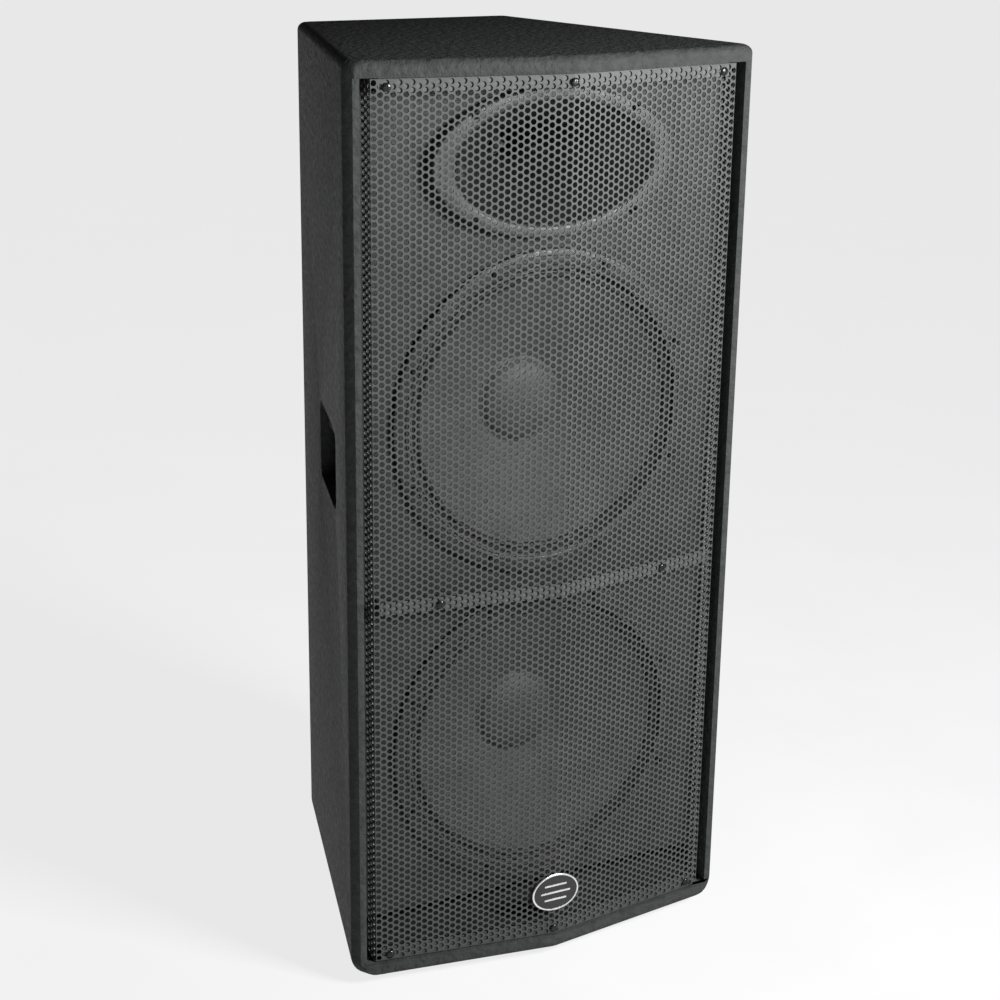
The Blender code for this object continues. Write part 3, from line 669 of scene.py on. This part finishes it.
def make_badge():
    """A blank oval plate with a bright rim and three plain bars."""
    low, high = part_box("badge")
    centre = (low + high) / 2
    half_a, half_b = (high.x - low.x) / 2, (high.z - low.z) / 2
    y_back, y_front = high.y, low.y

    def oval(scale_a, scale_b, y, count=72):
        return [(centre.x + scale_a * cos(2 * pi * k / count), y,
                 centre.z + scale_b * sin(2 * pi * k / count)) for k in range(count)]

    rim = 0.0022
    field = rings_piece("badge_field", [
        oval(half_a - 0.0004, half_b - 0.0004, y_back),
        oval(half_a - 0.0004, half_b - 0.0004, y_front + 0.0009),
        oval(half_a - rim, half_b - rim, y_front + 0.0007)], closed=False, caps=True)
    show(field, "badge", "cabinet", "badge_plate", "badge")
    band = rings_piece("badge_rim", [
        oval(half_a, half_b, y_back - 0.0002), oval(half_a, half_b, y_front + 0.0006),
        oval(half_a - 0.0005, half_b - 0.0005, y_front + 0.0001),
        oval(half_a - rim * 0.6, half_b - rim * 0.6, y_front),
        oval(half_a - rim, half_b - rim, y_front + 0.0004),
        oval(half_a - rim, half_b - rim, y_back - 0.0002)])
    show(band, "badge_metal", "cabinet", "badge_plate")
    bars = []
    for number, (z, half) in enumerate(((-0.0095, 0.0150), (0.0, 0.0200), (0.0095, 0.0150))):
        bars.append(rounded_box("bar", (centre.x - half, y_front + 0.0002, centre.z + z - 0.0012),
                                (centre.x + half, y_front + 0.0012, centre.z + z + 0.0012), 0.0004, 2))
    show(join("badge_bars", bars), "badge_metal", "cabinet", "badge_plate")


# ---------------------------------------------------------------- woofers
# Profiles are (radius, height), with height 0 on the baffle's front face.
FRAME_R, CONE_R = 0.192, 0.157
BOLT_CIRCLE_R, BOLT_R, BOLT_H, BOLT_SEAT = 0.1811, 0.0042, 0.0040, 0.0073


def flexing_ring(name, profile, centre, steps, mat, node):
    """A turned ring between cone and frame, given its material and baked in place; it hides the CAD node that
    it stands for.
    """
    ring = turned(name, profile, centre, steps=steps)
    ring.data.materials.append(MATS[mat])
    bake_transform(ring)
    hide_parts(node)
    return ring


def make_woofer(place):
    frame_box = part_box(place + "_woofer_frame")
    z = (frame_box[0].z + frame_box[1].z) / 2
    centre = Vector((0.0, BAFFLE_Y, z))
    body = place + "_cone"

    flange = turned(place + "_woofer_flange", [
        (0.1742, 0.0004), (FRAME_R - 0.0003, 0.0004), (FRAME_R, 0.0010), (FRAME_R, 0.0056),
        (FRAME_R - 0.0006, 0.0072), (FRAME_R - 0.0020, 0.0080), (0.1850, 0.0082), (0.1842, 0.0074),
        (0.1780, 0.0074), (0.1772, 0.0084), (0.1745, 0.0084), (0.1732, 0.0076), (0.1728, 0.0020),
        (0.1706, -0.0130), (0.1140, -0.0890), (0.0745, -0.0920), (0.0425, -0.0920), (0.0425, -0.0960),
        (0.0750, -0.0960), (0.1180, -0.0930), (0.1738, -0.0160)],
        centre, steps=120)
    windows = []
    for k in range(6):
        turn = Matrix.Rotation(2 * pi * k / 6 + pi / 6, 4, "Y")
        spot = Matrix.Translation(centre) @ turn
        windows.append(rounded_box("window", (0.100, 0.022, -0.040), (0.200, 0.084, 0.040), 0.006, 2,
                                   place=spot))
    boolean(flange, join("windows", windows))
    show(flange, "frame", "cabinet", "frame_paint", place + "_woofer_frame")

    gasket = turned(place + "_woofer_gasket", [
        (0.1712, 0.0024), (0.1727, 0.0024), (0.1727, 0.0086), (0.1718, 0.0092), (0.1700, 0.0086),
        (0.1692, 0.0050)],
        centre, steps=120)
    show(gasket, "gasket", "cabinet", "frame_paint")

    bolts = []
    for k in range(8):
        angle = radians(22.5 + 45 * k)
        spot = centre + Vector((BOLT_CIRCLE_R * cos(angle), -BOLT_SEAT, BOLT_CIRCLE_R * sin(angle)))
        bolts.append(make_hex_socket_cap("bolt", spot, BOLT_R, BOLT_H))
    show(join(place + "_woofer_bolts", bolts), "screw", "cabinet", "screw_black")

    roll = [(0.1570, -0.0010), (0.1574, 0.0008), (0.1592, 0.0030), (0.1608, 0.0036), (0.1624, 0.0026),
            (0.1636, 0.0008), (0.1650, 0.0004), (0.1664, 0.0024), (0.1680, 0.0040), (0.1696, 0.0034),
            (0.1710, 0.0012)]
    under = [(r, h - 0.0009) for r, h in reversed(roll)]
    flexing_ring(place + "_woofer_roll", roll + under, centre, 120, "surround",
                 place + "_woofer_surround")

    cone_line = [(0.0505 + (CONE_R - 0.0505) * t, -0.0655 + 0.0646 * (0.86 * t + 0.14 * t * t)) for t in
                 [k / 30 for k in range(31)]]
    ribbed = [(r, h + (0.0005 if k % 6 == 3 and 4 < k < 27 else 0.0)) for k, (r, h) in enumerate(cone_line)]
    back_line = [(r, h - 0.0022) for r, h in reversed(cone_line)]
    cone = turned(place + "_woofer_cone_paper", ribbed + back_line + [(0.0392, -0.0735), (0.0392, -0.0700)],
                  centre, steps=120, sharp=40)
    show(cone, "cone", body, "cone_paper", place + "_woofer_cone")

    dome = [(0.0518, -0.0672), (0.0525, -0.0652), (0.0518, -0.0640), (0.0495, -0.0634)]
    dome += [(0.0485 * cos(radians(a)), -0.0640 + 0.0130 * sin(radians(a)))
             for a in (6, 14, 24, 34, 44, 54, 64, 74, 84)]
    dome += [(0.0, -0.0508)]
    lining = [(0.0, -0.0520)] + [(0.0480 * cos(radians(a)), -0.0655 + 0.0130 * sin(radians(a)))
                                for a in (84, 64, 44, 24)] + [(0.0470, -0.0672)]
    cap = turned(place + "_dust_cap", dome + lining, centre, steps=96, sharp=40)
    show(cap, "cap", body, "cone_paper")

    wave = [(0.0394 + (0.0850 - 0.0394) * k / 48, -0.0780 + 0.0018 * sin(2 * pi * 5 * k / 48))
            for k in range(49)]
    wave_back = [(r, h - 0.0010) for r, h in reversed(wave)]
    flexing_ring(place + "_woofer_corrugated_spider", wave + wave_back, centre, 72,
                 "spider", place + "_woofer_spider")
    dress(place + "_woofer_voice_coil", "copper")
    dress(place + "_woofer_top_plate", "zinc")
    dress(place + "_woofer_pole_piece", "zinc")
    dress(place + "_woofer_magnet", "ferrite")


def make_hex_socket_cap(name, seat, radius, height):
    """A cap screw facing the front, with a six-sided socket."""
    steps = 24
    socket_r, depth = radius * 0.52, height * 0.55

    def ring(r, h, count=steps):
        return [(seat.x + r * cos(2 * pi * k / count), seat.y - h, seat.z + r * sin(2 * pi * k / count))
                for k in range(count)]

    def hexagon(h):
        spots = []
        for k in range(steps):
            angle = 2 * pi * k / steps
            within = (angle % (pi / 3)) - pi / 6
            r = socket_r * cos(pi / 6) / cos(within)
            spots.append((seat.x + r * cos(angle), seat.y - h, seat.z + r * sin(angle)))
        return spots

    return rings_piece(name, [ring(radius, 0.0), ring(radius, height * 0.85), ring(radius * 0.92, height),
                              hexagon(height), hexagon(height - depth)], closed=False, caps=True, sharp=30)


# ---------------------------------------------------------------- horn
HORN_SCREW_X, HORN_SCREW_Z = 0.0985, 0.0575      # from the middle of the flange


def make_horn():
    low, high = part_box("horn_flare")
    centre = (low + high) / 2
    half_a, half_b = (high.x - low.x) / 2, (high.z - low.z) / 2
    front, throat = low.y, high.y
    back = BAFFLE_Y - 0.0003
    count = 144

    def ring(a, b, y, power=2.0):
        spots = []
        for k in range(count):
            c, s = cos(2 * pi * k / count), sin(2 * pi * k / count)
            r = (abs(c) ** power + abs(s) ** power) ** (-1 / power)
            spots.append((centre.x + a * r * c, y, centre.z + b * r * s))
        return spots

    mouth_a, mouth_b, throat_r, lip = 0.1225, 0.0680, 0.0125, 0.0055
    rings = [ring(half_a - 0.0005, half_b - 0.0005, back), ring(half_a, half_b, back - 0.0006),
             ring(half_a, half_b, front + 0.0034)]
    for step in range(1, 5):
        t = step / 4 * pi / 2
        inset = 0.003 * (1 - cos(t))
        rings.append(ring(half_a - inset, half_b - inset, front + 0.0034 - 0.0034 * sin(t)))
    rings.append(ring(mouth_a + lip, mouth_b + lip, front + 0.0002))
    for step in range(1, 5):
        t = step / 4 * pi / 2
        grow = lip - lip * sin(t)
        rings.append(ring(mouth_a + grow, mouth_b + grow, front + 0.0002 + 0.0050 * (1 - cos(t))))
    rings.append(ring(mouth_a, mouth_b, back))
    flange = rings_piece("horn_flange", rings, sharp=45)
    show(flange, "horn", "cabinet", "horn_plastic", "horn_flare")

    depth = throat - front
    rings = [ring(mouth_a - 0.0003, mouth_b - 0.0003, front + 0.0054)]
    for step in range(1, 25):
        t = step / 24
        a = throat_r + (mouth_a - throat_r) * (1 - t) ** 1.55
        b = throat_r + (mouth_b - throat_r) * (1 - t) ** 1.25
        rings.append(ring(a, b, front + 0.0054 + (depth - 0.0054) * t))
    for a, b, y in ((0.0448, 0.0448, throat), (0.0450, 0.0450, throat - 0.0010),
                    (0.0450, 0.0450, throat - 0.0070), (0.0190, 0.0190, throat - 0.0100),
                    (0.0350, 0.0255, -0.0800), (0.0680, 0.0400, -0.1300),
                    (0.1060, 0.0590, back + 0.0010), (0.1080, 0.0600, back)):
        rings.append(ring(a, b, y))
    # the bell takes the darker copy of the horn moulding, painted shade in the mouth
    bell = rings_piece("horn_bell", rings, sharp=45)
    show(bell, "bell", "cabinet", "horn_plastic", "horn_flare")
    for number, (sx, sz) in enumerate(((-1, 1), (1, 1), (-1, -1), (1, -1)), start=1):
        seat = Vector((sx * HORN_SCREW_X, front + 0.0012, centre.z + sz * HORN_SCREW_Z))
        screw = make_hex_socket_cap("horn_screw_%d" % number, seat, 0.0046, 0.0044)
        show(screw, "screw", "cabinet", "screw_black")
    dress("driver_body", "zinc")
    dress("driver_diaphragm", "dome")
    dress("driver_cap", "plastic")


# ---------------------------------------------------------------- rear plate
def make_connector_plate():
    low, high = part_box("connector_plate")
    plate = rounded_box("connector_dish", low, high, 0.0012, 2)
    for name in ("input", "link"):
        c = middle(name + "_socket")
        hole = turned("hole", [(0.0136, 0.02), (0.0136, -0.02)], (c.x, high.y, c.z), "back", closed=False,
                      steps=48)
        boolean(plate, hole)
    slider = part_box("mode_switch_slider")
    slot_half = 0.0080
    x_mid = (slider[0].x + slider[1].x) / 2 + 0.003
    boolean(plate, rounded_box("slot", (x_mid - slot_half, low.y - 0.01, slider[0].z - 0.0004),
                               (x_mid + slot_half, high.y + 0.01, slider[1].z + 0.0004), 0))
    show(plate, "plate", "cabinet", "connector_steel", "connector_plate")

    for name in ("input", "link"):
        c = middle(name + "_socket")
        centre = (c.x, high.y, c.z)
        body = turned(name + "_socket_shell", [
            (0.0112, 0.0016), (0.0120, 0.0022), (0.0150, 0.0022), (0.0163, 0.0014), (0.0165, 0.0003),
            (0.0131, 0.0003), (0.0131, -0.0240), (0.0, -0.0240), (0.0, -0.0215), (0.0104, -0.0215),
            (0.0112, -0.0205)],
            centre, "back", steps=64)
        show(body, "gloss", "cabinet", "socket_plastic", name + "_socket")
        post = turned(name + "_socket_post", [
            (0.0, -0.0040), (0.0030, -0.0040), (0.0036, -0.0046), (0.0036, -0.0214), (0.0, -0.0214)],
            centre, "back", closed=False, steps=32)
        show(post, "gloss", "cabinet", "socket_plastic")
        blades = []
        for k in range(4):
            angle = pi / 4 + k * pi / 2
            spin = Matrix.Translation(centre) @ Matrix.Rotation(angle, 4, "Y")
            blades.append(rounded_box("blade", (0.0037, -0.0190, -0.0012), (0.0043, -0.0060, 0.0012),
                                      0.0002, 1, place=spin))
        show(join(name + "_socket_contacts", blades), "contact", "cabinet", "socket_plastic")
    screws = []
    for sx in (-1, 1):
        for sz in (-1, 1):
            seat = Vector((sx * 0.066, high.y, (low.z + high.z) / 2 + sz * 0.046))
            screws.append(make_screw_cap("screw", seat, 0.0038, 0.0020, (0, 1, 0)))
    show(join("connector_plate_screws", screws), "screw", "cabinet", "screw_black")

    knob_low, knob_high = slider
    knob = rounded_box("knob", knob_low, knob_high, 0.0003, 2)
    for k in range(3):
        x = (knob_low.x + knob_high.x) / 2 + (k - 1) * 0.0022
        boolean(knob, rounded_box("groove", (x - 0.0004, knob_high.y - 0.0006, knob_low.z - 0.001),
                                  (x + 0.0004, knob_high.y + 0.001, knob_high.z + 0.001), 0))
    show(knob, "knob", "mode_switch", "switch_knob", "mode_switch_slider")
    dress("mode_switch_body", "case")


REAR_SCREWS_PER_SIDE, REAR_SCREW_EDGE, REAR_SCREW_END = 7, 0.012, 0.030


def make_rear_screws():
    """Countersunk screws along the rear panel's edge."""
    half = inner_half(REAR_HIGH.y) - REAR_SCREW_EDGE
    span = TOP_LOW.z - BOTTOM_HIGH.z - 2 * REAR_SCREW_END
    spots = [(side * half, BOTTOM_HIGH.z + REAR_SCREW_END + k * span / (REAR_SCREWS_PER_SIDE - 1))
             for side in (-1, 1) for k in range(REAR_SCREWS_PER_SIDE)]
    spots += [(0.0, BOTTOM_HIGH.z + REAR_SCREW_EDGE), (0.0, TOP_LOW.z - REAR_SCREW_EDGE)]
    screws = [make_screw_cap("screw", Vector((x, REAR_HIGH.y - 0.0002, z)), 0.0042, 0.0010, (0, 1, 0), 0.0006)
              for x, z in spots]
    show(join("rear_panel_screws", screws), "screw", "cabinet", "screw_black")


# ---------------------------------------------------------------- feet
def make_feet():
    for node in ("front_left_foot", "front_right_foot", "rear_left_foot", "rear_right_foot"):
        low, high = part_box(node)
        c = (low + high) / 2
        h = high.z
        foot = turned(node + "_rubber", [
            (0.0, 0.0030), (0.0060, 0.0030), (0.0070, 0.0022), (0.0072, 0.0), (0.0150, 0.0), (0.0168, 0.0006),
            (0.0180, 0.0020), (0.0205, h - 0.0012), (0.0210, h), (0.0, h)], (c.x, c.y, 0.0), "up", steps=64)
        show(foot, "rubber", "cabinet", "foot_rubber", node)
        seat = Vector((c.x, c.y, 0.0031))
        screw = make_screw_cap(node + "_screw", seat, 0.0050, 0.0018, (0, 0, -1), 0.0006)
        show(screw, "zinc", "cabinet", "plated_steel")


def dress_boards():
    for node in ("front_baffle", "port_floor"):
        dress(node, "board")
    # painted light: the batten and rib get the lighter copy of the baffle paint
    for node in ("top_batten", "middle_rib"):
        dress(node, "rib")
    for node in ("port_shelf", "cross_brace"):
        dress(node, "bare")
    dress("crossover_board", "circuit")
    dress("crossover_inductor", "copper")
    dress("crossover_capacitor", "film")


# ---------------------------------------------------------------- camera, floor and light
# the camera was fitted to the cabinet's corners in the photo; angles in degrees
CAMERA_AZIMUTH, CAMERA_ELEVATION, CAMERA_ROLL = -26.618, 18.586, 0.806
CAMERA_SPOT, CAMERA_LENS, SENSOR_WIDTH = (-1.0404, -2.1363, 1.3237), 72.346, 36.0
FLOOR_GLOW = 0.80
SKY_SEEN, SKY_LIGHT = 1.0, 0.05          # the world's strength to the camera and to everything else


def make_camera():
    azimuth, elevation, roll = radians(CAMERA_AZIMUTH), radians(CAMERA_ELEVATION), radians(CAMERA_ROLL)
    back = Vector((sin(azimuth) * cos(elevation), -cos(azimuth) * cos(elevation), sin(elevation)))
    right = (-back).cross(Vector((0, 0, 1))).normalized()
    up = back.cross(right)
    turned_right = right * cos(roll) + up * sin(roll)
    turned_up = up * cos(roll) - right * sin(roll)
    data = bpy.data.cameras.new("camera")
    data.lens = CAMERA_LENS
    data.sensor_width = SENSOR_WIDTH
    camera = bpy.data.objects.new("camera", data)
    bpy.context.scene.collection.objects.link(camera)
    axes = Matrix((turned_right, turned_up, back)).transposed().to_4x4()
    camera.matrix_world = Matrix.Translation(CAMERA_SPOT) @ axes
    bpy.context.scene.camera = camera


def make_floor():
    bpy.ops.mesh.primitive_grid_add(x_subdivisions=4, y_subdivisions=4, size=40.0, location=(0, 0, -0.0005))
    floor = bpy.context.active_object
    floor.name = "floor"
    mat = shade("pale_floor", (0.09, 0.09, 0.09), (0.11, 0.11, 0.11), 3, (0.7, 0.8), 20, specular=0.1)
    glow = mat.node_tree.nodes["Principled BSDF"]
    glow.inputs["Emission Color"].default_value = (1.0, 1.0, 1.0, 1.0)
    glow.inputs["Emission Strength"].default_value = FLOOR_GLOW
    floor.data.materials.append(mat)


def area_light(name, spot, target, size, power):
    data = bpy.data.lights.new(name, "AREA")
    data.shape = "RECTANGLE"
    data.size, data.size_y = size
    data.energy = power
    lamp = bpy.data.objects.new(name, data)
    bpy.context.scene.collection.objects.link(lamp)
    lamp.location = spot
    lamp.rotation_euler = (Vector(target) - Vector(spot)).to_track_quat("-Z", "Y").to_euler()


def make_light():
    """A world that looks white but lights little, and a soft lamp in front."""
    world = bpy.data.worlds.new("studio")
    world.use_nodes = True
    tree = world.node_tree
    sky = tree.nodes["Background"]
    sky.inputs["Color"].default_value = (1.0, 1.0, 1.0, 1.0)
    path = tree.nodes.new("ShaderNodeLightPath")
    level = tree.nodes.new("ShaderNodeMapRange")
    level.inputs["To Min"].default_value = SKY_LIGHT
    level.inputs["To Max"].default_value = SKY_SEEN
    tree.links.new(path.outputs["Is Camera Ray"], level.inputs["Value"])
    tree.links.new(level.outputs["Result"], sky.inputs["Strength"])
    bpy.context.scene.world = world
    bpy.context.scene.view_settings.view_transform = "Standard"
    area_light("key", (0.78, -1.60, 1.38), (0.0, -0.2, 0.85), (0.55, 0.55), 100)


make_camera()
make_floor()
make_light()
make_shell()
make_handle(-1)
make_handle(1)
make_grille()
make_grille_screws()
make_badge()
make_woofer("upper")
make_woofer("lower")
make_horn()
make_connector_plate()
make_rear_screws()
make_feet()
dress_boards()
